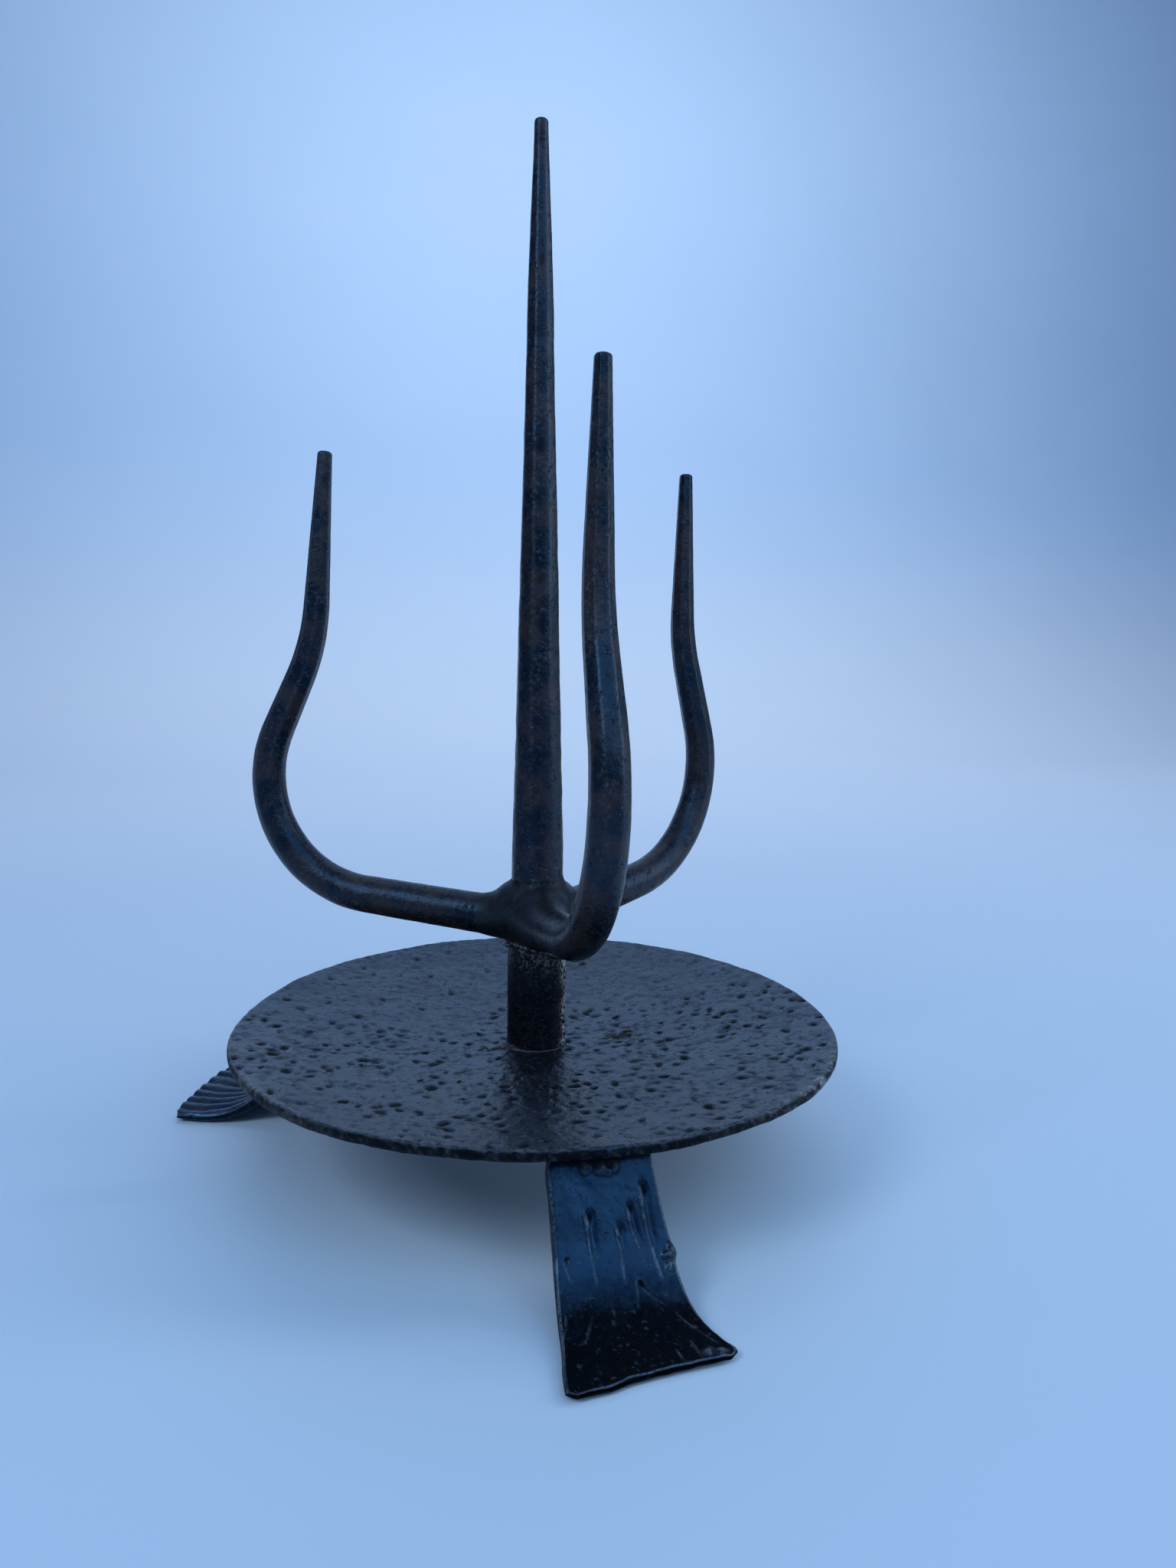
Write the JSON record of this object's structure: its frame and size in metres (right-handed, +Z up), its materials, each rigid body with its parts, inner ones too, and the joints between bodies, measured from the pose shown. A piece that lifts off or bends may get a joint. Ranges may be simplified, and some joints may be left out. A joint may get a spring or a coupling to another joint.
{
  "type": "pricket candle stand",
  "caption": "Forged iron pricket candle stand: tall central spike and bent arms rising from a post on a dished drip plate with splayed flat legs.",
  "frame": {"origin": "on the table, at the bottom centre of the stand's bounding box: midway between the front foot's end and the back of the plate's rim, 16.5 mm in front of the spike's axis", "axes": "+Z up along the spike, -Y towards the front leg and the front arm, +X to the right seen from the front"},
  "size_m": [0.2992, 0.283, 0.4175],
  "materials": {
    "forged_iron": "satin",
    "hammered_plate": "satin",
    "leg_flat_bar": "satin",
    "weld_bead": "matte"
  },
  "bodies": {
    "root": {"drip_plate": "hammered_plate", "post": "forged_iron", "spike": "forged_iron", "arm_front": "forged_iron", "arm_left": "forged_iron", "arm_right": "forged_iron", "hub_weld": "weld_bead", "post_top_weld": "weld_bead", "post_foot_weld": "weld_bead", "leg_front": "leg_flat_bar", "leg_left": "leg_flat_bar", "leg_right": "leg_flat_bar", "leg_front_weld": "weld_bead", "leg_left_weld": "weld_bead", "leg_right_weld": "weld_bead"}
  },
  "joints": []
}
